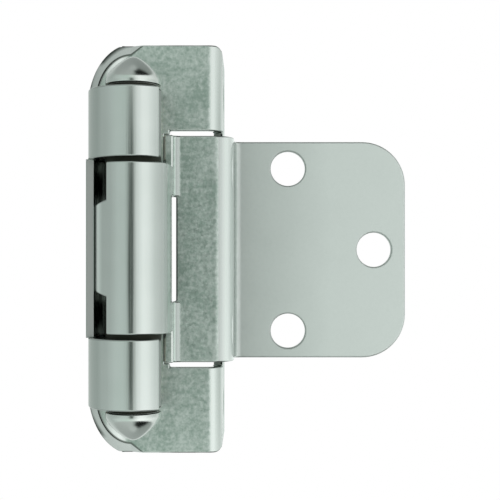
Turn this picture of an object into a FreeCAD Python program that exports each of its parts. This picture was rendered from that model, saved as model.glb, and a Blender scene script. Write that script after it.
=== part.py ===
import FreeCAD, Part
import math
import os

os.makedirs("parts", exist_ok=True)

# Millimetres. The origin is on the pin's axis at half its length. X runs right
# towards the door plate, Y runs away from the eye into the cabinet, Z is up.
# The hinge is modelled closed, with both leaves flush in front.

# Sheet steel of both leaves
sheet = 1.5

# Hinge pin
pin_radius = 4.6
neck_radius = 4.0           # groove between the frame leaf's tab and the pin's head
neck_height = 0.75
rim_height = 0.65           # plain rim of the head, below its dome
dome_height = 4.1
dome_fullness = 0.62        # how far the dome swells from a cone (0) to a square end (1)
cam_radius = 3.2            # thinner middle that the spring works on
cam_flat = 2.6              # distance of its flat from the axis
cam_inset = 4.95            # from each end of the knuckle

# Fits and gaps
tab_clearance = 0.05        # pin in the frame leaf's curled tabs
running_clearance = 0.08    # pin in the door leaf's knuckle
shell_clearance = 0.22      # knuckle in the frame leaf's shell
end_gap = 0.75              # each end of the knuckle to a tab
bearing_clearance = 0.05
spring_clearance = 0.1
leg_clearance = 0.5         # door leaf's leg to the frame leaf's flange
window_clearance = 0.85     # door leaf to the window's ends
bend_clearance = 0.35       # door leaf's root bend to the window's side
flange_clearance = 0.4      # door leaf's crank bend to the flange

# Frame leaf
frame_height = 69.85
tab_inset = 8.725           # the tabs' outer ends, from the leaf's ends
tab_length = 11.5
tab_edge_angle = -40.0      # free edge, in degrees about the pin from +X
tab_slack = 1.42            # how far the curl stands off the pin at the left
window_left = 5.5
relief_height = 0.15        # of the window's reliefs for the root bend, past the door leaf
flange_face = 14.5
flange_bend = 2.5           # outside radius
flange_depth = 24.0
flange_corner = 3.0
flange_end_round = 1.3
flange_hole_radius = 2.3
flange_hole_depth = 17.0
flange_hole_inset = 7.425   # from the leaf's ends
nose_slope = 1.5            # height gained by the nose's cut for each mm backwards
nose_back = 0.4             # the cut meets the top this far short of the back face
nose_run_out = 2.0          # width over which the cut ends on the flat

# Door leaf
shoulder = 5.45             # how far the leaf reaches past each end of the knuckle
root_fillet = 1.3           # inside radius where the knuckle joins the flat
crank_bend = 3.3            # outside radius
crank_step = 9.525
foot_fillet = 1.2           # inside radius
plate_reach = 47.2
plate_corner = 7.75
plate_hole_radius = 3.1
near_hole_setback = 9.6     # from the leg's face
near_hole_inset = 4.8       # from the plate's ends
far_hole_inset = 5.6        # from the plate's free edge
slot_inset = 4.95           # from each end of the knuckle
slot_start = 3.0
slot_right = 6.6
knuckle_edge_angle = -130.0
tongue_inset = 6.15         # from each end of the knuckle
tongue_taper = 0.7
tongue_end_angle = -245.0

# Nylon bearings
bearing_recess = 0.6        # below each end of the tabs
bearing_right = 3.8
bearing_front = -1.5

# Closing spring
spring_thickness = 0.7
spring_end_clearance = 0.3
spring_bend = 0.35          # inside radius of the hook's bend
hook_angle = 30.0
hook_turn = 80.0
hook_length = 2.2
leg_bend = 1.0              # middle radius where the leg leaves the arc
leg_angle = -235.0
leg_end = 2.3

# Sizes that follow from the ones above
half_height = frame_height / 2
tab_high = half_height - tab_inset
tab_low = tab_high - tab_length
flange_hole_height = half_height - flange_hole_inset
tab_radius = pin_radius + tab_clearance + sheet
tab_left_reach = tab_radius + tab_slack
knuckle_inner = pin_radius + running_clearance
knuckle_outer = knuckle_inner + sheet
knuckle_half = tab_low - end_gap
cam_half_length = knuckle_half - cam_inset
door_half = knuckle_half + shoulder
near_hole_height = door_half - near_hole_inset
slot_half_height = knuckle_half - slot_inset
tongue_half_height = knuckle_half - tongue_inset
tongue_tip_half_height = tongue_half_height - tongue_taper
front_face = knuckle_outer + shell_clearance
back_face = front_face + sheet
window_half = door_half + window_clearance
left_curl_centre = (0.0, tab_slack)
back_curl_radius = back_face - left_curl_centre[1]
back_curl_centre = (back_curl_radius - tab_left_reach, left_curl_centre[1])
flange_centre = (flange_face - flange_bend, front_face + flange_bend)
root_centre = (knuckle_outer + root_fillet, front_face - root_fillet)
leg_face = flange_face + leg_clearance + sheet
crank_centre = (leg_face - crank_bend, front_face + crank_bend)
plate_face = front_face + crank_step
near_hole_reach = leg_face + near_hole_setback
far_hole_reach = plate_reach - far_hole_inset
foot_centre = (leg_face + foot_fillet, plate_face - foot_fillet)
flange_cut = crank_centre[1] - (crank_bend - sheet) + flange_clearance
flange_cut += (flange_face - crank_centre[0]) ** 2 / (2 * (crank_bend - sheet))
root_bend_left = root_centre[0] - math.sqrt(
    (root_fillet + sheet) ** 2 - (front_face - root_centre[1]) ** 2)
window_left_middle = root_bend_left - bend_clearance
margin = 2.0                # how far cutters reach past what they cut


def vector(x, y, z=0.0):
    return FreeCAD.Vector(x, y, z)


def polar(centre, radius, degrees):
    angle = math.radians(degrees)
    return vector(centre[0] + radius * math.cos(angle), centre[1] + radius * math.sin(angle))


def line(start, end):
    return Part.LineSegment(start, end).toShape()


def arc(centre, radius, start, end):
    """Arc about centre, between two angles in degrees."""
    middle = polar(centre, radius, (start + end) / 2)
    return Part.Arc(polar(centre, radius, start), middle, polar(centre, radius, end)).toShape()


def sheet_section(bends, first=None, last=None):
    """Section of folded sheet. A bend is its centre, its radius on each of the sheet's
    two sides, and its start and end angles. Flats join the bends, and first and last are
    the two corners of a flat end."""
    edges = []
    ends = []
    for side in (0, 1):
        corners = [] if first is None else [first[side]]
        for centre, radii, start, end in bends:
            edges.append(arc(centre, radii[side], start, end))
            corners += [polar(centre, radii[side], start), polar(centre, radii[side], end)]
        if last is not None:
            corners.append(last[side])
        flats = corners[:] if first is not None else corners[1:]
        for start, end in zip(flats[0::2], flats[1::2]):
            if start.distanceToPoint(end) > 1e-6:
                edges.append(line(start, end))
        ends.append((corners[0], corners[-1]))
    edges.append(line(ends[0][0], ends[1][0]))
    edges.append(line(ends[0][1], ends[1][1]))
    return Part.Face(Part.Wire(Part.__sortEdges__(edges)))


def polygon(points):
    return Part.Face(Part.makePolygon(points + points[:1]))


def raised(section, low, high):
    """Solid of a flat section between two heights."""
    start = section.copy()
    start.translate(vector(0, 0, low))
    return start.extrude(vector(0, 0, high - low))


def block(x_range, y_range, z_range):
    size = [high - low for low, high in (x_range, y_range, z_range)]
    return Part.makeBox(*size, vector(x_range[0], y_range[0], z_range[0]))


def both_ends(solid):
    """The solid and its mirror image at the hinge's other end."""
    return [solid, solid.mirror(vector(0, 0, 0), vector(0, 0, 1))]


def joined(solids):
    return solids[0].fuse(solids[1:]).removeSplitter()


def save(solid, name):
    solid = solid.removeSplitter()
    print(name, solid.ShapeType, len(solid.Solids), "valid", solid.isValid(),
          "volume %.1f" % solid.Volume)
    solid.exportStep("parts/" + name + ".step")


def curl_bends():
    """The frame leaf's tab, from its free edge over the pin and round to the back."""
    return [
        ((0, 0), (tab_radius, tab_radius - sheet), tab_edge_angle, -90),
        (left_curl_centre, (tab_left_reach, tab_left_reach - sheet), -90, -180),
        (back_curl_centre, (back_curl_radius, back_curl_radius - sheet), -180, -270),
    ]


def nose_cutter():
    """What is cut off the curled sheet above a tab: square over the tab, then sloping
    up to the back, and running out on the flat to the right."""
    low = tab_high
    top = half_height
    back = back_face - nose_back
    foot = back - (top - low) / nose_slope
    front = -tab_left_reach - margin
    left = -back_face - margin
    square = block((left, window_left), (front, foot), (low, top + margin))
    profile = [(foot, low), (back, top), (back, top + margin), (foot - margin, top + margin),
               (foot - margin, low)]
    slope = polygon([vector(left, y, z) for y, z in profile])
    slope = slope.extrude(vector(back_curl_centre[0] - left, 0, 0))
    start = back_curl_centre[0]
    inner = front_face - margin
    rise = (back - front_face) * nose_slope
    corner = [(inner, top - rise - margin * nose_slope), (back, top), (inner, top)]
    run_out = polygon([vector(start, y, z) for y, z in corner])
    run_out = run_out.extrude(vector(nose_run_out, 0, rise))
    return square.fuse([slope, run_out])


def frame_leaf():
    """Leaf that is screwed to the cabinet's frame: a flat with two tabs curled over the
    pin, a shell behind the knuckle, a window for the door leaf, and a flange that wraps
    round the frame's edge."""
    curl = curl_bends()
    window_side = [vector(window_left, back_face), vector(window_left, front_face)]
    middle_side = [vector(window_left_middle, back_face), vector(window_left_middle, front_face)]
    flange_inner = flange_face - sheet
    flange = (flange_centre, (flange_bend - sheet, flange_bend), -90, 0)
    flange_end = [vector(flange_inner, flange_depth), vector(flange_face, flange_depth)]
    end_section = sheet_section(curl + [flange], last=flange_end)
    tab_section = sheet_section(curl, last=window_side)
    relieved_section = sheet_section(curl, last=middle_side)
    relief_top = door_half + relief_height
    shell_section = sheet_section([((0, 0), (back_face, front_face), 180, 90)], last=middle_side)

    solids = both_ends(raised(end_section, window_half, half_height))
    solids += both_ends(raised(tab_section, relief_top, window_half))
    solids += both_ends(raised(relieved_section, tab_low, relief_top))
    solids.append(raised(shell_section, -tab_low, tab_low))
    solids.append(block((flange_inner, flange_face), (flange_cut, flange_depth),
                        (-window_half, window_half)))
    leaf = joined(solids)

    cutters = both_ends(nose_cutter())
    for height in (-flange_hole_height, flange_hole_height):
        hole = Part.makeCylinder(flange_hole_radius, sheet + 2 * margin,
                                 vector(flange_inner - margin, flange_hole_depth, height),
                                 vector(1, 0, 0))
        cutters.append(hole)
    corner = block((flange_inner - margin, flange_face + margin),
                   (flange_depth - flange_corner, flange_depth + margin),
                   (half_height - flange_corner, half_height + margin))
    corner = corner.cut(Part.makeCylinder(
        flange_corner, sheet + 2 * margin,
        vector(flange_inner - margin, flange_depth - flange_corner, half_height - flange_corner),
        vector(1, 0, 0)))
    cutters += both_ends(corner)
    end_round = block((flange_face - flange_end_round, flange_face + margin),
                      (0, flange_depth + margin),
                      (half_height - flange_end_round, half_height + margin))
    end_round = end_round.cut(Part.makeCylinder(
        flange_end_round, flange_depth + margin,
        vector(flange_face - flange_end_round, 0, half_height - flange_end_round),
        vector(0, 1, 0)))
    cutters += both_ends(end_round)
    return leaf.cut(cutters)


def door_leaf():
    """Leaf that is screwed to the back of the door: the middle knuckle with its tongue,
    a flat, the crank's leg, and the plate with its screw holes."""
    knuckle = ((0, 0), (knuckle_outer, knuckle_inner), knuckle_edge_angle, 0)
    root = (root_centre, (root_fillet, root_fillet + sheet), 180, 90)
    crank = (crank_centre, (crank_bend, crank_bend - sheet), -90, 0)
    foot = (foot_centre, (foot_fillet, foot_fillet + sheet), 180, 90)
    plate_end = [vector(plate_reach, plate_face), vector(plate_reach, plate_face + sheet)]
    knuckle_section = sheet_section([knuckle, root, crank, foot], last=plate_end)
    shoulder_section = sheet_section([root, crank, foot], last=plate_end)

    solids = [raised(knuckle_section, -knuckle_half, knuckle_half)]
    solids += both_ends(raised(shoulder_section, knuckle_half, door_half))

    # The tongue goes on from the knuckle's free edge, narrower, round the left and back.
    radii = (knuckle_outer, knuckle_inner)
    neck_section = sheet_section([((0, 0), radii, knuckle_edge_angle, -180)])
    tip_section = sheet_section([((0, 0), radii, -180, tongue_end_angle)])
    edge_x = polar((0, 0), knuckle_outer, knuckle_edge_angle).x
    neck = raised(neck_section, -tongue_half_height, tongue_half_height)
    taper = polygon([vector(edge_x, -knuckle_outer - margin, tongue_half_height),
                     vector(-knuckle_outer, -knuckle_outer - margin, tongue_tip_half_height),
                     vector(-knuckle_outer, -knuckle_outer - margin, tongue_half_height)])
    taper = taper.extrude(vector(0, knuckle_outer + margin, 0))
    solids.append(neck.cut(both_ends(taper)))
    solids.append(raised(tip_section, -tongue_tip_half_height, tongue_tip_half_height))
    leaf = joined(solids)

    # Beside the slot nothing draws the sheet forward to the knuckle, so it stays flat.
    slot_left = knuckle_inner - margin / 2
    leaf = leaf.cut(block((slot_left, root_centre[0]), (slot_start, back_face + margin),
                          (-slot_half_height, slot_half_height)))
    leaf = joined([leaf, block((slot_right, root_centre[0]), (front_face, back_face),
                               (-slot_half_height, slot_half_height))])

    cutters = []
    holes = [(near_hole_reach, -near_hole_height), (near_hole_reach, near_hole_height),
             (far_hole_reach, 0)]
    for reach, height in holes:
        cutters.append(Part.makeCylinder(plate_hole_radius, sheet + 2 * margin,
                                         vector(reach, plate_face - margin, height),
                                         vector(0, 1, 0)))
    corner = block((plate_reach - plate_corner, plate_reach + margin),
                   (plate_face - margin, plate_face + sheet + margin),
                   (door_half - plate_corner, door_half + margin))
    corner = corner.cut(Part.makeCylinder(
        plate_corner, sheet + 2 * margin,
        vector(plate_reach - plate_corner, plate_face - margin, door_half - plate_corner),
        vector(0, 1, 0)))
    cutters += both_ends(corner)
    return leaf.cut(cutters)


def hinge_pin():
    """Turned pin with a domed head at each end, set off by a groove, and a thinner middle
    with one flat, which is the cam that the closing spring presses on."""
    rim = tab_high + neck_height
    base = rim + rim_height
    apex = base + dome_height
    dome = Part.BezierCurve()
    dome.setPoles([vector(pin_radius, 0, base),
                   vector(pin_radius, 0, base + dome_fullness * dome_height / 2),
                   vector(dome_fullness * pin_radius / 2, 0, apex),
                   vector(0, 0, apex)])
    corners = [vector(0, 0, cam_half_length), vector(pin_radius, 0, cam_half_length),
               vector(pin_radius, 0, tab_high), vector(neck_radius, 0, tab_high),
               vector(neck_radius, 0, rim), vector(pin_radius, 0, rim),
               vector(pin_radius, 0, base)]
    edges = [line(start, end) for start, end in zip(corners, corners[1:])]
    edges += [dome.toShape(), line(vector(0, 0, apex), corners[0])]
    end = Part.Face(Part.Wire(edges)).revolve(vector(0, 0, 0), vector(0, 0, 1), 360)
    cam = Part.makeCylinder(cam_radius, 2 * cam_half_length, vector(0, 0, -cam_half_length))
    cam = cam.cut(block((-cam_radius, cam_radius), (cam_flat, cam_radius + margin),
                        (-cam_half_length, cam_half_length)))
    return joined([cam] + both_ends(end))


def bearing():
    """Nylon saddle that fills the curled tab beside and behind the pin."""
    left_radius = tab_left_reach - sheet - bearing_clearance
    back_radius = back_curl_radius - sheet - bearing_clearance
    drop = left_curl_centre[1] - bearing_front
    front_angle = 180 + math.degrees(math.asin(drop / left_radius))
    back = front_face - bearing_clearance
    edges = [arc(left_curl_centre, left_radius, front_angle, 180),
             arc(back_curl_centre, back_radius, 180, 90),
             line(vector(back_curl_centre[0], back), vector(bearing_right, back)),
             line(vector(bearing_right, back), vector(bearing_right, bearing_front)),
             line(vector(bearing_right, bearing_front),
                  polar(left_curl_centre, left_radius, front_angle))]
    saddle = raised(Part.Face(Part.Wire(Part.__sortEdges__(edges))),
                    tab_low + bearing_recess, tab_high - bearing_recess)
    return saddle.cut(Part.makeCylinder(pin_radius + bearing_clearance, half_height))


def closing_spring():
    """Spring strip that lines the knuckle, hooked in the door leaf's slot, with a leg
    that rides on the pin's cam and snaps on to its flat as the door closes."""
    outer = knuckle_inner - spring_clearance
    inner = outer - spring_thickness
    middle = (outer + inner) / 2
    half_length = slot_half_height - spring_end_clearance
    hook_radii = (spring_bend, spring_bend + spring_thickness)
    hook_centre = polar((0, 0), outer + spring_bend, hook_angle)
    hook_centre = (hook_centre.x, hook_centre.y)
    hook_start = hook_angle + 180 - hook_turn
    outward = polar((0, 0), hook_length, hook_start - 90)
    hook_end = [polar(hook_centre, radius, hook_start) + outward for radius in hook_radii]
    leg_centre = polar((0, 0), middle - leg_bend, leg_angle)
    leg_centre = (leg_centre.x, leg_centre.y)
    leg_radii = (leg_bend + spring_thickness / 2, leg_bend - spring_thickness / 2)
    leg_tip = [vector(leg_end, leg_centre[1] + radius) for radius in leg_radii]
    section = sheet_section([
        (hook_centre, hook_radii, hook_start, hook_angle + 180),
        ((0, 0), (outer, inner), hook_angle, leg_angle),
        (leg_centre, leg_radii, leg_angle, -270),
    ], first=hook_end, last=leg_tip)
    return raised(section, -half_length, half_length)


save(frame_leaf(), "frame_leaf")
save(door_leaf(), "door_leaf")
save(hinge_pin(), "hinge_pin")
upper_bearing, lower_bearing = both_ends(bearing())
save(upper_bearing, "upper_bearing")
save(lower_bearing, "lower_bearing")
save(closing_spring(), "closing_spring")
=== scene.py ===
import math

import bmesh
import bpy
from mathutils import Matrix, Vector
from mathutils.bvhtree import BVHTree


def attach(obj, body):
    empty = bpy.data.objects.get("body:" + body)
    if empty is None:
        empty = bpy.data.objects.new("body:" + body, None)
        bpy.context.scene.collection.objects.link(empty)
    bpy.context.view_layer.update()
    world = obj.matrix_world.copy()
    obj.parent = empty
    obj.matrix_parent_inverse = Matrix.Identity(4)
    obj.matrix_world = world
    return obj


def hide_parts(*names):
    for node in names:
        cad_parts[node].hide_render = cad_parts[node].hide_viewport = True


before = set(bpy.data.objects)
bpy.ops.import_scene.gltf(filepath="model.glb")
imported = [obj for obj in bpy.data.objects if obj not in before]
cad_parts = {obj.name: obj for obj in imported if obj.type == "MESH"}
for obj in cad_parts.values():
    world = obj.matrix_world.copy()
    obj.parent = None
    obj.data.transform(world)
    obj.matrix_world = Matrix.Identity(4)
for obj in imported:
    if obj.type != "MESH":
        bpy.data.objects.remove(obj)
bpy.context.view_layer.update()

# Camera: a product shot from straight in front. It stands only about 180 mm away, so the
# plate, which lies further back, looks smaller than the leaf in front of it.
camera_data = bpy.data.cameras.new("front_camera")
camera_data.sensor_width = 36.0
camera_data.lens = 77.8
camera_data.shift_y = 0.0272        # centres the hinge, seen from slightly below
camera_data.clip_start = 0.01
camera = bpy.data.objects.new("front_camera", camera_data)
camera.location = (0.01928, -0.1786, -0.0025)
camera.rotation_euler = (math.radians(90), 0, 0)
bpy.context.scene.collection.objects.link(camera)
bpy.context.scene.camera = camera
bpy.context.scene.view_settings.view_transform = "Standard"


# Room: a white sweep behind the hinge, a weaker soft box to the left of the camera and a
# stronger one to the right. The camera stands in the dark gap between the two boxes, and
# plated metal that faces it shows that gap.
def linear(colour):
    """Blender's linear colour of an sRGB hex value."""
    parts = [int(colour[i:i + 2], 16) / 255 for i in (1, 3, 5)]
    return tuple(p / 12.92 if p <= 0.04045 else ((p + 0.055) / 1.055) ** 2.4
                 for p in parts) + (1.0,)


def add(tree, kind, feeds=None, **settings):
    """Adds a node with its settings. Feeds are its inputs, by name or number, each with
    the output that is linked to it or the value that it holds."""
    node = tree.nodes.new(kind)
    for name, value in settings.items():
        setattr(node, name, value)
    for name, feed in (feeds or {}).items():
        if isinstance(feed, bpy.types.NodeSocket):
            tree.links.new(feed, node.inputs[name])
        else:
            node.inputs[name].default_value = feed
    return node


room = bpy.data.worlds.new("photo_room")
bpy.context.scene.world = room
room.use_nodes = True
tree = room.node_tree
tree.nodes.clear()
room_strength = 1.55        # of what the colours below call white
room_slope = 0.1            # how much brighter it is low down, and darker high up
place = add(tree, "ShaderNodeTexCoord")
split = add(tree, "ShaderNodeSeparateXYZ", {0: place.outputs["Generated"]})
towards = add(tree, "ShaderNodeMath", {0: split.outputs["Y"], 1: -1.0},
              operation="MULTIPLY")
angle = add(tree, "ShaderNodeMath", {0: split.outputs["X"], 1: towards.outputs[0]},
            operation="ARCTAN2")
turn = add(tree, "ShaderNodeMapRange", {"Value": angle.outputs[0], "From Min": -math.pi,
                                        "From Max": math.pi})
height = add(tree, "ShaderNodeMath", {0: split.outputs["Z"]}, operation="ABSOLUTE")
# The walls' light at three heights, in degrees from the camera towards the hinge's right
level = [(-180, "#babfbc"), (-140, "#adb3b0"), (-104, "#a8afac"), (-68, "#a9b0ad"),
         (-41, "#bec6c3"), (-20, "#bec6c3"), (-10, "#a5ada9"), (-7, "#1b261f"),
         (4, "#1b261f"), (7, "#9ba09d"), (14, "#d6d9d7"), (35, "#f8faf9"),
         (50, "#f5f7f6"), (75, "#d3d7d5"), (105, "#bfc3c1"), (140, "#dbdfdd"),
         (165, "#dbdfdd"), (180, "#babfbc")]
raised = [(-180, "#c6cac8"), (-100, "#a6adaa"), (-60, "#c0c8c5"), (-20, "#bfccc5"),
          (5, "#d4dad6"), (30, "#ffffff"), (60, "#f6f8f7"), (120, "#d5d8d6"),
          (180, "#c6cac8")]
overhead = [(-180, "#939896"), (-90, "#a4a8a6"), (0, "#b2b6b4"), (14, "#7e8380"),
            (28, "#0d100e"), (88, "#0d100e"), (112, "#8b908d"), (180, "#939896")]
bands = []
for stops in (level, raised, overhead):
    band = add(tree, "ShaderNodeValToRGB", {"Fac": turn.outputs["Result"]})
    elements = band.color_ramp.elements
    while len(elements) < len(stops):
        elements.new(1.0)
    for element, (degrees, colour) in zip(elements, stops):
        element.position = (degrees + 180) / 360
        element.color = linear(colour)
    bands.append(band.outputs["Color"])
# Each light gives way to the next between two angles above or below the level, in
# degrees, and an even light closes the room at the top and the bottom.
lower_band, middle_band, upper_band = bands
walls = lower_band
for band, lower, upper in ((middle_band, 6, 13), (upper_band, 38, 46),
                           (linear("#b2b6b4"), 76, 86)):
    climb = add(tree, "ShaderNodeMapRange",
                {"Value": height.outputs[0], "From Min": math.sin(math.radians(lower)),
                 "From Max": math.sin(math.radians(upper))},
                interpolation_type="SMOOTHSTEP")
    blend = add(tree, "ShaderNodeMix", {"Factor": climb.outputs["Result"], "A": walls,
                                        "B": band}, data_type="RGBA")
    walls = blend.outputs["Result"]
drop = add(tree, "ShaderNodeMapRange", {"Value": split.outputs["Z"],
                                        "From Min": -0.3, "From Max": 0.3,
                                        "To Min": room_strength * (1 + room_slope),
                                        "To Max": room_strength * (1 - room_slope)})
# The camera itself sees plain white behind the hinge.
light_path = add(tree, "ShaderNodeLightPath")
studio = add(tree, "ShaderNodeBackground", {"Color": walls,
                                            "Strength": drop.outputs["Result"]})
sweep = add(tree, "ShaderNodeBackground", {"Color": linear("#ffffff"), "Strength": 1.0})
seen = add(tree, "ShaderNodeMixShader", {"Fac": light_path.outputs["Is Camera Ray"],
                                         1: studio.outputs[0], 2: sweep.outputs[0]})
add(tree, "ShaderNodeOutputWorld", {"Surface": seen.outputs[0]})


# Floor: white card some way below the hinge, which hangs free as in a cut-out product
# picture. It takes the hinge's soft shadow, and away from that it fades into the sweep.
# Mirror rays don't see it, or it would hide the soft boxes from the pin's lower dome.
floor_level = -0.09
floor_reach = 0.2
fade_start = 0.10           # from the middle of the card
least_glow = 0.75           # of the sweep's white, inside that
form = bmesh.new()
bmesh.ops.create_grid(form, x_segments=1, y_segments=1, size=floor_reach)
bmesh.ops.translate(form, verts=form.verts, vec=(0, 0, floor_level))
floor = bpy.data.objects.new("floor_card", bpy.data.meshes.new("floor_card"))
form.to_mesh(floor.data)
form.free()
bpy.context.scene.collection.objects.link(floor)

# Matt white card is an even white with no gloss, so it only shows the shadow.
card = bpy.data.materials.new("matt_white_card")
card.use_nodes = True
tree = card.node_tree
tree.nodes.clear()
place = add(tree, "ShaderNodeTexCoord")
distance = add(tree, "ShaderNodeVectorMath", {0: place.outputs["Object"]},
               operation="LENGTH")
fade = add(tree, "ShaderNodeMapRange", {"Value": distance.outputs["Value"],
                                        "From Min": fade_start,
                                        "From Max": floor_reach,
                                        "To Min": least_glow, "To Max": 1.0})
light_path = add(tree, "ShaderNodeLightPath")
direct = add(tree, "ShaderNodeMath", {0: light_path.outputs["Is Camera Ray"],
                                      1: light_path.outputs["Is Transmission Ray"]},
             operation="MAXIMUM")
share = add(tree, "ShaderNodeMath", {0: direct.outputs[0], 1: fade.outputs["Result"]},
            operation="MULTIPLY")
paper = add(tree, "ShaderNodeBsdfDiffuse", {"Color": linear("#f4f4f4")})
glow = add(tree, "ShaderNodeEmission", {"Color": linear("#ffffff"), "Strength": 1.0})
mixed = add(tree, "ShaderNodeMixShader", {"Fac": share.outputs[0], 1: paper.outputs[0],
                                          2: glow.outputs[0]})
add(tree, "ShaderNodeOutputMaterial", {"Surface": mixed.outputs[0]})
floor.data.materials.append(card)
floor.visible_glossy = False


# Frame leaf: zinc-plated steel strip, blanked and folded in a press, with two tabs
# curled over the pin. The blanking die leaves the edges rolled.
edge_roll = 0.0003
flatness = 0.3              # degrees between triangles that are one flat
sheet_sharpness = 32        # degrees between two faces that make an edge
smooth_shading = 50         # degrees under which an edge is shaded smooth


def rounded_copy(node, name, roll, sharp_angle):
    """A merged copy of a CAD solid, with its sharp edges rounded. The point value rim is
    1 along the middle of each rounded edge and 0 elsewhere."""
    form = bmesh.new()
    form.from_mesh(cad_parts[node].data)
    bmesh.ops.remove_doubles(form, verts=form.verts, dist=1e-6)
    surface = BVHTree.FromBMesh(form)
    # Each flat's triangles are joined into one face, so that the rounding runs evenly.
    bmesh.ops.dissolve_limit(form, angle_limit=math.radians(flatness), verts=form.verts,
                             edges=form.edges, delimit=set())
    bmesh.ops.connect_verts_concave(form, faces=form.faces)
    rim = form.verts.layers.float.new("rim")
    sharp = [edge for edge in form.edges
             if edge.is_manifold and edge.calc_face_angle() > math.radians(sharp_angle)]
    rolled = bmesh.ops.bevel(form, geom=sharp, offset=roll, offset_type="OFFSET",
                             affect="EDGES", segments=4, profile=0.5, material=-1,
                             clamp_overlap=False)
    rounded = set(rolled["faces"])
    for vert in rolled["verts"]:
        vert[rim] = float(all(face in rounded for face in vert.link_faces))
    # A rounding cuts less than this off an edge. At a narrow corner it overshoots, and
    # such points go back between their neighbours, on the solid's own surface.
    deepest = roll * 0.45
    stray = {vert for vert in form.verts if surface.find_nearest(vert.co)[3] > deepest}
    while stray:
        near = [vert for vert in stray
                if any(edge.other_vert(vert) not in stray for edge in vert.link_edges)]
        if not near:
            break
        places = []
        for vert in near:
            fixed = [edge.other_vert(vert).co for edge in vert.link_edges
                     if edge.other_vert(vert) not in stray]
            places.append(sum(fixed, Vector()) / len(fixed))
        for vert, place in zip(near, places):
            vert.co = surface.find_nearest(place)[0]
        stray.difference_update(near)
    for face in form.faces:
        face.smooth = True
    piece = bpy.data.objects.new(name, bpy.data.meshes.new(name))
    form.to_mesh(piece.data)
    form.free()
    piece.data.set_sharp_from_angle(angle=math.radians(smooth_shading))
    bpy.context.scene.collection.objects.link(piece)
    even = piece.modifiers.new("even_shading", "WEIGHTED_NORMAL")
    even.keep_sharp = True
    even.weight = 100
    return piece


# Zinc-plated mild steel. The rolled strip keeps a fine orange-peel surface, which blurs
# what the flats mirror. The curling tools burnish the barrel and draw lines along it. The
# real peel and lines are a few times finer, and are drawn coarser so that they show.
# The zones below are placed in metres from the pin's axis and the hinge's mid height.
peel_size = 0.0007
peel_depth = 0.000008
line_width = 0.0003
line_length = 0.02
film_blotch = 0.0008
film_cloud = 0.006
cloud_share = 0.5           # of the clouds in the film, against the blotches
plate_mottle = 0.2          # how far the clouds change the plate's tone
plate_start, plate_full = 0.0166, 0.0172        # across the crank, from the pin's axis
plate_haze = 0.18           # added roughness on the plate
sheared_haze = 0.3          # added roughness on the shell's sheared edge
rim_shade = 0.3             # how dark the rolled edges are
tab_end_shade = 0.55           # how much darker they are on the tabs' ends
bend_light_reach = 20              # millimetres from the pin's axis that the painted bend light covers
zinc = bpy.data.materials.new("zinc_plated_steel")
zinc.use_nodes = True
tree = zinc.node_tree
tree.nodes.clear()
place = add(tree, "ShaderNodeTexCoord")
split = add(tree, "ShaderNodeSeparateXYZ", {0: place.outputs["Object"]})
facing = add(tree, "ShaderNodeSeparateXYZ", {0: place.outputs["Normal"]})
# The barrel is all that stands forward of the flats, except the shell's free edge.
forward = add(tree, "ShaderNodeMapRange", {"Value": split.outputs["Y"],
                                           "From Min": 0.001, "From Max": 0.004,
                                           "To Min": 1.0, "To Max": 0.0})
round_side = add(tree, "ShaderNodeMapRange", {"Value": split.outputs["X"],
                                              "From Min": -0.0080, "From Max": -0.0077})
barrel = add(tree, "ShaderNodeMath", {0: forward.outputs["Result"],
                                      1: round_side.outputs["Result"]},
             operation="MULTIPLY")
# The bends are the surfaces beside the barrel that slant away from the front. They end
# where the plate begins, and at the flange's deep part.
inner = add(tree, "ShaderNodeMapRange", {"Value": split.outputs["X"],
                                         "From Min": plate_start, "From Max": plate_full,
                                         "To Min": 1.0, "To Max": 0.0})
square_on = add(tree, "ShaderNodeMath", {0: facing.outputs["Y"]}, operation="ABSOLUTE")
bent = add(tree, "ShaderNodeMapRange", {"Value": square_on.outputs[0],
                                        "From Min": 0.972, "From Max": 0.996,
                                        "To Min": 1.0, "To Max": 0.0})
near = add(tree, "ShaderNodeMapRange", {"Value": split.outputs["Y"],
                                        "From Min": 0.0095, "From Max": 0.0105,
                                        "To Min": 1.0, "To Max": 0.0})
crank_side = add(tree, "ShaderNodeMapRange", {"Value": split.outputs["X"],
                                              "From Min": 0.0150, "From Max": 0.0154})
reach = add(tree, "ShaderNodeMath", {0: near.outputs["Result"],
                                     1: crank_side.outputs["Result"]}, operation="MAXIMUM")
pulled = add(tree, "ShaderNodeMath", {0: bent.outputs["Result"], 1: reach.outputs[0]},
             operation="MULTIPLY")
behind = add(tree, "ShaderNodeMath", {0: inner.outputs["Result"],
                                      1: barrel.outputs[0]}, operation="SUBTRACT",
             use_clamp=True)
bends = add(tree, "ShaderNodeMath", {0: pulled.outputs[0], 1: behind.outputs[0]},
            operation="MULTIPLY")
worked = add(tree, "ShaderNodeMath", {0: barrel.outputs[0], 1: bends.outputs[0]},
             use_clamp=True)
# The plate is all that lies beyond the crank.
outer = add(tree, "ShaderNodeMapRange", {"Value": split.outputs["X"],
                                         "From Min": plate_start,
                                         "From Max": plate_full})
# The peel is the same in every direction, and the drawn lines run along the pin.
peel = add(tree, "ShaderNodeTexNoise", {"Vector": place.outputs["Object"],
                                        "Scale": 1 / peel_size, "Detail": 3.0,
                                        "Roughness": 0.6})
drawn = add(tree, "ShaderNodeMapping", {"Vector": place.outputs["Object"],
                                        "Scale": (1.0, 1.0, line_width / line_length)})
lines = add(tree, "ShaderNodeTexNoise", {"Vector": drawn.outputs[0],
                                         "Scale": 1 / line_width, "Detail": 2.0})
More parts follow.
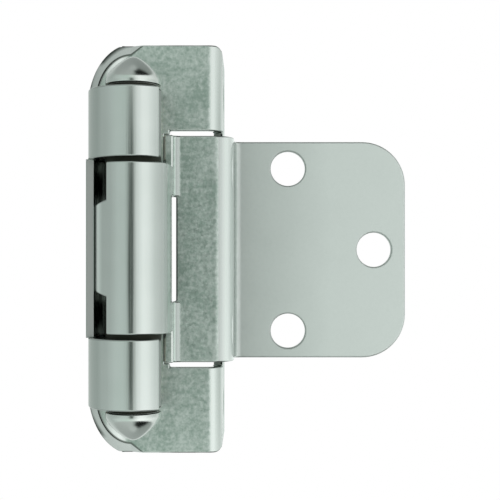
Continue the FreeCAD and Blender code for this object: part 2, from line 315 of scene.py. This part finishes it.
# A thin film of passivation lies on the flats in clouds and blotches. The worked steel
# is cleaner.
cloud = add(tree, "ShaderNodeTexNoise", {"Vector": place.outputs["Object"],
                                         "Scale": 1 / film_cloud, "Detail": 2.0})
blotch = add(tree, "ShaderNodeTexNoise", {"Vector": place.outputs["Object"],
                                          "Scale": 1 / film_blotch, "Detail": 5.0,
                                          "Roughness": 0.7})
mottle = add(tree, "ShaderNodeMath", {0: cloud.outputs["Fac"], 1: cloud_share,
                                      2: blotch.outputs["Fac"]},
             operation="MULTIPLY_ADD")
spread = add(tree, "ShaderNodeMapRange", {"Value": mottle.outputs[0],
                                          "From Min": 0.62, "From Max": 0.88})
film = add(tree, "ShaderNodeMix", {"Factor": spread.outputs["Result"],
                                   "A": linear("#9aaba2"), "B": linear("#c8d1cc")},
           data_type="RGBA")
clean = add(tree, "ShaderNodeMix", {"Factor": cloud.outputs["Fac"],
                                    "A": linear("#b6bdb9"), "B": linear("#c0c6c3")},
            data_type="RGBA")
# The middle knuckle's left flank is lighter, and the tabs' left flanks are a little
# darker.
height = add(tree, "ShaderNodeMath", {0: split.outputs["Z"]}, operation="ABSOLUTE")
left_half = add(tree, "ShaderNodeMapRange", {"Value": split.outputs["X"],
                                             "From Min": -0.0054, "From Max": -0.0046,
                                             "To Min": 1.0, "To Max": 0.0})
in_shell = add(tree, "ShaderNodeMapRange", {"Value": split.outputs["X"],
                                            "From Min": -0.0066, "From Max": -0.0064})
lighter_left_flank = add(tree, "ShaderNodeMix", {"Factor": in_shell.outputs["Result"],
                                    "A": clean.outputs["Result"], "B": linear("#d2d9d6")},
            data_type="RGBA")
tab_height = add(tree, "ShaderNodeMapRange", {"Value": height.outputs[0],
                                              "From Min": 0.0140, "From Max": 0.0146})
left_tone = add(tree, "ShaderNodeMix", {"Factor": tab_height.outputs["Result"],
                                        "A": lighter_left_flank.outputs["Result"],
                                        "B": linear("#b0b7b3")}, data_type="RGBA")
burnished = add(tree, "ShaderNodeMix", {"Factor": left_half.outputs["Result"],
                                        "A": clean.outputs["Result"],
                                        "B": left_tone.outputs["Result"]},
                data_type="RGBA")
# The bends carry painted highlight and shade. Along the door leaf the knuckle's root gets
# a painted highlight on its outer half and painted shade beside it, and the crank's bend
# gets painted shade on the flat's side and a painted highlight beyond.
bend_light_place = add(tree, "ShaderNodeMapRange", {"Value": split.outputs["X"],
                                             "From Min": 0.0,
                                             "From Max": bend_light_reach / 1000})
painted_bend_light = add(tree, "ShaderNodeValToRGB", {"Fac": bend_light_place.outputs["Result"]})
# Millimetres from the pin's axis towards the plate: the knuckle's root, then the crank
bend_light_stops = [(5.84, "#bec5c1"), (6.04, "#fafffc"), (6.4, "#fafffc"), (6.56, "#c2c8c5"),
             (6.72, "#a0a6a3"), (7.24, "#a0a6a3"), (7.4, "#bec5c1"),
             (13.2, "#bec5c1"), (13.8, "#a4aaa7"), (14.4, "#aab0ad"),
             (14.75, "#bac0bd"), (15.05, "#ccd3cf")]
elements = painted_bend_light.color_ramp.elements
while len(elements) < len(bend_light_stops):
    elements.new(1.0)
for element, (millimetres, colour) in zip(elements, bend_light_stops):
    element.position = millimetres / bend_light_reach
    element.color = linear(colour)
door_height = add(tree, "ShaderNodeMapRange", {"Value": height.outputs[0],
                                               "From Min": 0.0194, "From Max": 0.0198})
door_bend_light = add(tree, "ShaderNodeMix", {"Factor": door_height.outputs["Result"],
                                     "A": painted_bend_light.outputs["Color"],
                                     "B": linear("#bec5c1")}, data_type="RGBA")
bend_light_to_crank = add(tree, "ShaderNodeMix", {"Factor": crank_side.outputs["Result"],
                                        "A": door_bend_light.outputs["Result"],
                                        "B": linear("#dbe1de")}, data_type="RGBA")
bright = add(tree, "ShaderNodeMix", {"Factor": bends.outputs[0],
                                     "A": burnished.outputs["Result"],
                                     "B": bend_light_to_crank.outputs["Result"]}, data_type="RGBA")
# Painted shade: the plate is darker beside the crank, which shades it, than at its free
# end.
crank_shade_ramp = add(tree, "ShaderNodeMapRange", {"Value": split.outputs["X"],
                                        "From Min": 0.0165, "From Max": 0.034,
                                        "To Min": -0.1, "To Max": 0.9})
free = add(tree, "ShaderNodeMath", {0: cloud.outputs["Fac"], 1: plate_mottle,
                                    2: crank_shade_ramp.outputs["Result"]}, operation="MULTIPLY_ADD",
           use_clamp=True)
plate_tone = add(tree, "ShaderNodeMix", {"Factor": free.outputs[0],
                                         "A": linear("#b3b9b6"), "B": linear("#d0d6d3")},
                 data_type="RGBA")
cleaned = add(tree, "ShaderNodeMath", {0: forward.outputs["Result"], 1: bends.outputs[0]},
              use_clamp=True)
pressed = add(tree, "ShaderNodeMix", {"Factor": cleaned.outputs[0],
                                      "A": film.outputs["Result"],
                                      "B": bright.outputs["Result"]}, data_type="RGBA")
plain = add(tree, "ShaderNodeMix", {"Factor": outer.outputs["Result"],
                                    "A": pressed.outputs["Result"],
                                    "B": plate_tone.outputs["Result"]}, data_type="RGBA")
# Painted shade darkens everything inside the barrel that faces the pin, below the heads.
level_place = add(tree, "ShaderNodeVectorMath", {0: place.outputs["Object"],
                                                 1: (1.0, 1.0, 0.0)}, operation="MULTIPLY")
outwards = add(tree, "ShaderNodeVectorMath", {0: level_place.outputs[0]},
               operation="NORMALIZE")
towards_pin = add(tree, "ShaderNodeVectorMath", {0: outwards.outputs[0],
                                                 1: place.outputs["Normal"]},
                  operation="DOT_PRODUCT")
inside = add(tree, "ShaderNodeMapRange", {"Value": towards_pin.outputs["Value"],
                                          "From Min": -0.7, "From Max": -0.5,
                                          "To Min": 1.0, "To Max": 0.0})
beside_pin = add(tree, "ShaderNodeMapRange", {"Value": split.outputs["X"],
                                              "From Min": 0.0025, "From Max": 0.0035,
                                              "To Min": 1.0, "To Max": 0.0})
below_head = add(tree, "ShaderNodeMapRange", {"Value": height.outputs[0],
                                              "From Min": 0.0250, "From Max": 0.0262,
                                              "To Min": 1.0, "To Max": 0.0})
reached = add(tree, "ShaderNodeMath", {0: inside.outputs["Result"],
                                       1: beside_pin.outputs["Result"]},
              operation="MULTIPLY")
barrel_shade = add(tree, "ShaderNodeMath", {0: reached.outputs[0],
                                      1: below_head.outputs["Result"]},
             operation="MULTIPLY")
# Painted shade darkens the window's cut ends in the flange, which lie deep in shade.
cut_face = add(tree, "ShaderNodeMapRange", {"Value": square_on.outputs[0],
                                            "From Min": 0.85, "From Max": 0.95})
past_bend = add(tree, "ShaderNodeMapRange", {"Value": split.outputs["Y"],
                                             "From Min": 0.0084, "From Max": 0.0087})
before_plate = add(tree, "ShaderNodeMapRange", {"Value": split.outputs["Y"],
                                                "From Min": 0.0132, "From Max": 0.0135,
                                                "To Min": 1.0, "To Max": 0.0})
deep = add(tree, "ShaderNodeMath", {0: past_bend.outputs["Result"],
                                    1: before_plate.outputs["Result"]},
           operation="MULTIPLY")
window_end = add(tree, "ShaderNodeMapRange", {"Value": height.outputs[0],
                                              "From Min": 0.0188, "From Max": 0.0194})
cut_end = add(tree, "ShaderNodeMath", {0: deep.outputs[0],
                                       1: window_end.outputs["Result"]},
              operation="MULTIPLY")
window_end_shade = add(tree, "ShaderNodeMath", {0: cut_face.outputs["Result"], 1: cut_end.outputs[0]},
          operation="MULTIPLY")
# The painted shades inside the barrel and at the window's ends share one dark grey.
dark = add(tree, "ShaderNodeMath", {0: barrel_shade.outputs[0], 1: window_end_shade.outputs[0]},
           operation="MAXIMUM")
inner_shaded = add(tree, "ShaderNodeMix", {"Factor": dark.outputs[0],
                                      "A": plain.outputs["Result"],
                                      "B": linear("#727873")}, data_type="RGBA")
# The shell's free edge beside the knuckle was sheared, so it is greyer and matt.
left_edge = add(tree, "ShaderNodeMapRange", {"Value": split.outputs["X"],
                                             "From Min": -0.0067, "From Max": -0.0065,
                                             "To Min": 1.0, "To Max": 0.0})
sheared = add(tree, "ShaderNodeMath", {0: cut_face.outputs["Result"],
                                       1: left_edge.outputs["Result"]},
              operation="MULTIPLY")
edged = add(tree, "ShaderNodeMix", {"Factor": sheared.outputs[0],
                                    "A": inner_shaded.outputs["Result"],
                                    "B": linear("#a8a9a8")}, data_type="RGBA")
# Painted dark reflections line the rolled edges, darkest on the curled tabs' ends.
rim = add(tree, "ShaderNodeAttribute", attribute_name="rim")
leaf_end = add(tree, "ShaderNodeMapRange", {"Value": height.outputs[0],
                                            "From Min": 0.0262, "From Max": 0.0272})
curled = add(tree, "ShaderNodeMapRange", {"Value": split.outputs["X"],
                                          "From Min": 0.001, "From Max": 0.002,
                                          "To Min": tab_end_shade, "To Max": 0.0})
edge_shade_amount = add(tree, "ShaderNodeMath", {0: leaf_end.outputs["Result"],
                                    1: curled.outputs["Result"], 2: rim_shade},
           operation="MULTIPLY_ADD")
painted_edge_shade = add(tree, "ShaderNodeMath", {0: rim.outputs["Fac"], 1: edge_shade_amount.outputs[0]},
           operation="MULTIPLY")
lined = add(tree, "ShaderNodeMix", {"Factor": painted_edge_shade.outputs[0],
                                    "A": edged.outputs["Result"],
                                    "B": linear("#4d544f")}, data_type="RGBA")
# The noses' sloping cuts get a painted highlight towards their tips and painted dark
# reflections in streaks along their outer edges.
slope = add(tree, "ShaderNodeMath", {0: facing.outputs["Z"]}, operation="ABSOLUTE")
sloping = add(tree, "ShaderNodeMapRange", {"Value": slope.outputs[0],
                                           "From Min": 0.35, "From Max": 0.45})
tipwards = add(tree, "ShaderNodeMapRange", {"Value": split.outputs["X"],
                                            "From Min": -0.0070, "From Max": 0.0,
                                            "To Min": 0.2, "To Max": 1.0})
nose = add(tree, "ShaderNodeMath", {0: sloping.outputs["Result"],
                                    1: leaf_end.outputs["Result"]},
           operation="MULTIPLY")
nose_tip_highlight = add(tree, "ShaderNodeMath", {0: nose.outputs[0], 1: tipwards.outputs["Result"]},
          operation="MULTIPLY")
tipped = add(tree, "ShaderNodeMix", {"Factor": nose_tip_highlight.outputs[0],
                                     "A": lined.outputs["Result"],
                                     "B": linear("#e4eae7")}, data_type="RGBA")
from_axis = add(tree, "ShaderNodeVectorMath", {0: level_place.outputs[0]},
                operation="LENGTH")
outer_edge = add(tree, "ShaderNodeMapRange", {"Value": from_axis.outputs["Value"],
                                              "From Min": 0.0074, "From Max": 0.0079})
streak_clouds = add(tree, "ShaderNodeMapRange", {"Value": cloud.outputs["Fac"],
                                         "From Min": 0.36, "From Max": 0.56})
streaked_edge = add(tree, "ShaderNodeMath", {0: outer_edge.outputs["Result"],
                                         1: streak_clouds.outputs["Result"]},
                operation="MULTIPLY")
painted_edge_streaks = add(tree, "ShaderNodeMath", {0: streaked_edge.outputs[0], 1: nose.outputs[0]},
           operation="MULTIPLY")
tone = add(tree, "ShaderNodeMix", {"Factor": painted_edge_streaks.outputs[0],
                                   "A": tipped.outputs["Result"],
                                   "B": linear("#474e49")}, data_type="RGBA")
# The flats blur what they mirror, the barrel and the bends are the smoothest, and the
# plate and the sheared edge are the haziest.
flat_rough = add(tree, "ShaderNodeMapRange", {"Value": peel.outputs["Fac"],
                                              "From Min": 0.3, "From Max": 0.7,
                                              "To Min": 0.28, "To Max": 0.38})
barrel_rough = add(tree, "ShaderNodeMapRange", {"Value": lines.outputs["Fac"],
                                                "From Min": 0.3, "From Max": 0.7,
                                                "To Min": 0.14, "To Max": 0.22})
plate_rough = add(tree, "ShaderNodeMath", {0: outer.outputs["Result"], 1: plate_haze,
                                           2: flat_rough.outputs["Result"]},
                  operation="MULTIPLY_ADD")
pressed_rough = add(tree, "ShaderNodeMix", {"Factor": worked.outputs[0],
                                            "A": plate_rough.outputs[0],
                                            "B": barrel_rough.outputs["Result"]})
rough = add(tree, "ShaderNodeMath", {0: sheared.outputs[0], 1: sheared_haze,
                                     2: pressed_rough.outputs["Result"]},
            operation="MULTIPLY_ADD")
relief = add(tree, "ShaderNodeMix", {"Factor": barrel.outputs[0],
                                     "A": peel.outputs["Fac"], "B": lines.outputs["Fac"]})
dents = add(tree, "ShaderNodeBump", {"Height": relief.outputs["Result"], "Strength": 1.0,
                                     "Distance": peel_depth})
metal = add(tree, "ShaderNodeBsdfPrincipled", {"Base Color": tone.outputs["Result"],
                                               "Roughness": rough.outputs[0],
                                               "Normal": dents.outputs["Normal"],
                                               "Metallic": 1.0})
add(tree, "ShaderNodeOutputMaterial", {"Surface": metal.outputs[0]})

frame_leaf = rounded_copy("frame_leaf", "frame_leaf_sheet", edge_roll, sheet_sharpness)
frame_leaf.data.materials.append(zinc)
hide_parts("frame_leaf")
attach(frame_leaf, "frame_side")


# Door leaf: the same strip, curled into the middle knuckle, cranked back by the door's
# lip and ended in a plate with three screw holes.
door_leaf = rounded_copy("door_leaf", "door_leaf_sheet", edge_roll, sheet_sharpness)
door_leaf.data.materials.append(zinc)
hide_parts("door_leaf")
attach(door_leaf, "door_side")


# Hinge pin: one turned steel pin with a domed head at each end, zinc plated after turning.
# The frame leaf's tabs and bearings hold it.
pin_edge_roll = 0.00012
square_sharpness = 60       # degrees, so that only square edges are rounded
pin = rounded_copy("hinge_pin", "hinge_pin_turned", pin_edge_roll, square_sharpness)

# Turned and plated steel is brighter and smoother than the strip, with the fine rings of
# the turning, drawn a little coarser than the real ones so that they show. Painted shade
# leaves the shaft nearly black between the parts, except in the journals, which keep the
# plain colour.
ring_width = 0.00012
ring_depth = 0.000002
head_start = 0.0268         # up or down from the hinge's mid height
journal_from, journal_to = 0.0150, 0.0261
shaft_haze = 0.62         # the roughness of the shaft
turned = bpy.data.materials.new("turned_zinc_plated_steel")
turned.use_nodes = True
tree = turned.node_tree
tree.nodes.clear()
place = add(tree, "ShaderNodeTexCoord")
split = add(tree, "ShaderNodeSeparateXYZ", {0: place.outputs["Object"]})
height = add(tree, "ShaderNodeMath", {0: split.outputs["Z"]}, operation="ABSOLUTE")
head = add(tree, "ShaderNodeMapRange", {"Value": height.outputs[0], "From Min": head_start,
                                        "From Max": head_start + 0.0002})
rings = add(tree, "ShaderNodeTexNoise", {"W": height.outputs[0], "Scale": 1 / ring_width,
                                         "Detail": 2.0}, noise_dimensions="1D")
past_start = add(tree, "ShaderNodeMapRange", {"Value": height.outputs[0],
                                              "From Min": journal_from,
                                              "From Max": journal_from + 0.0004})
before_end = add(tree, "ShaderNodeMapRange", {"Value": height.outputs[0],
                                              "From Min": journal_to - 0.0002,
                                              "From Max": journal_to,
                                              "To Min": 1.0, "To Max": 0.0})
journal = add(tree, "ShaderNodeMath", {0: past_start.outputs["Result"],
                                       1: before_end.outputs["Result"]},
              operation="MULTIPLY")
shaft = add(tree, "ShaderNodeMix", {"Factor": journal.outputs[0], "A": linear("#33362f"),
                                    "B": linear("#a3aaa6")}, data_type="RGBA")
colour = add(tree, "ShaderNodeMix", {"Factor": head.outputs["Result"],
                                     "A": shaft.outputs["Result"],
                                     "B": linear("#c3c9c5")}, data_type="RGBA")
polish = add(tree, "ShaderNodeMapRange", {"Value": rings.outputs["Fac"], "To Min": 0.13,
                                          "To Max": 0.25})
smear = add(tree, "ShaderNodeMix", {"Factor": head.outputs["Result"], "A": shaft_haze,
                                    "B": polish.outputs["Result"]})
groove = add(tree, "ShaderNodeBump", {"Height": rings.outputs["Fac"],
                                      "Distance": ring_depth})
metal = add(tree, "ShaderNodeBsdfPrincipled", {"Base Color": colour.outputs["Result"],
                                               "Roughness": smear.outputs["Result"],
                                               "Normal": groove.outputs["Normal"],
                                               "Metallic": 1.0})
add(tree, "ShaderNodeOutputMaterial", {"Surface": metal.outputs[0]})
pin.data.materials.append(turned)
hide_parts("hinge_pin")
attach(pin, "frame_side")


# Bearings: two moulded saddles of natural nylon, pressed into the curled tabs from
# behind before the pin goes in. They keep the pin from rattling.
bearing_edge_roll = 0.0002

# Moulded natural nylon is off-white and a little milky, because some light goes in, with
# faint flow marks. The mould's skin makes it matt. It is finer on the real one, and is
# drawn coarser so that it shows.
flow_size = 0.003
skin_size = 0.0002
skin_depth = 0.000004
nylon = bpy.data.materials.new("moulded_natural_nylon")
nylon.use_nodes = True
tree = nylon.node_tree
tree.nodes.clear()
place = add(tree, "ShaderNodeTexCoord")
flow = add(tree, "ShaderNodeTexNoise", {"Vector": place.outputs["Object"],
                                        "Scale": 1 / flow_size, "Detail": 2.0})
colour = add(tree, "ShaderNodeMix", {"Factor": flow.outputs["Fac"], "A": linear("#cbc8ba"),
                                     "B": linear("#dedbce")}, data_type="RGBA")
skin = add(tree, "ShaderNodeTexNoise", {"Vector": place.outputs["Object"],
                                        "Scale": 1 / skin_size, "Detail": 2.0})
dents = add(tree, "ShaderNodeBump", {"Height": skin.outputs["Fac"],
                                     "Distance": skin_depth})
plastic = add(tree, "ShaderNodeBsdfPrincipled", {"Base Color": colour.outputs["Result"],
                                                 "Normal": dents.outputs["Normal"],
                                                 "Roughness": 0.5, "IOR": 1.53,
                                                 "Subsurface Weight": 0.15,
                                                 "Subsurface Scale": 0.0008})
add(tree, "ShaderNodeOutputMaterial", {"Surface": plastic.outputs[0]})
for node in ("upper_bearing", "lower_bearing"):
    bearing = rounded_copy(node, node + "_saddle", bearing_edge_roll, sheet_sharpness)
    bearing.data.materials.append(nylon)
    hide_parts(node)
    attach(bearing, "frame_side")


# Closing spring: a strip of blued spring steel, rolled to line the knuckle and hooked in
# the door leaf's slot. Its leg presses on the pin's flat and pulls the door shut.
spring_edge_roll = 0.00015

# Oiled and blued spring steel is nearly black, with a soft sheen that changes with how
# thick the oil lies.
oil_patch = 0.002
blued = bpy.data.materials.new("oiled_blued_spring_steel")
blued.use_nodes = True
tree = blued.node_tree
tree.nodes.clear()
place = add(tree, "ShaderNodeTexCoord")
oil = add(tree, "ShaderNodeTexNoise", {"Vector": place.outputs["Object"],
                                       "Scale": 1 / oil_patch, "Detail": 3.0})
colour = add(tree, "ShaderNodeMix", {"Factor": oil.outputs["Fac"], "A": linear("#1c1e1f"),
                                     "B": linear("#2b2e30")}, data_type="RGBA")
sheen = add(tree, "ShaderNodeMapRange", {"Value": oil.outputs["Fac"], "To Min": 0.45,
                                         "To Max": 0.65})
metal = add(tree, "ShaderNodeBsdfPrincipled", {"Base Color": colour.outputs["Result"],
                                               "Roughness": sheen.outputs["Result"],
                                               "Metallic": 1.0})
add(tree, "ShaderNodeOutputMaterial", {"Surface": metal.outputs[0]})
spring = rounded_copy("closing_spring", "closing_spring_strip", spring_edge_roll,
                      square_sharpness)
spring.data.materials.append(blued)
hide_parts("closing_spring")
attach(spring, "door_side")
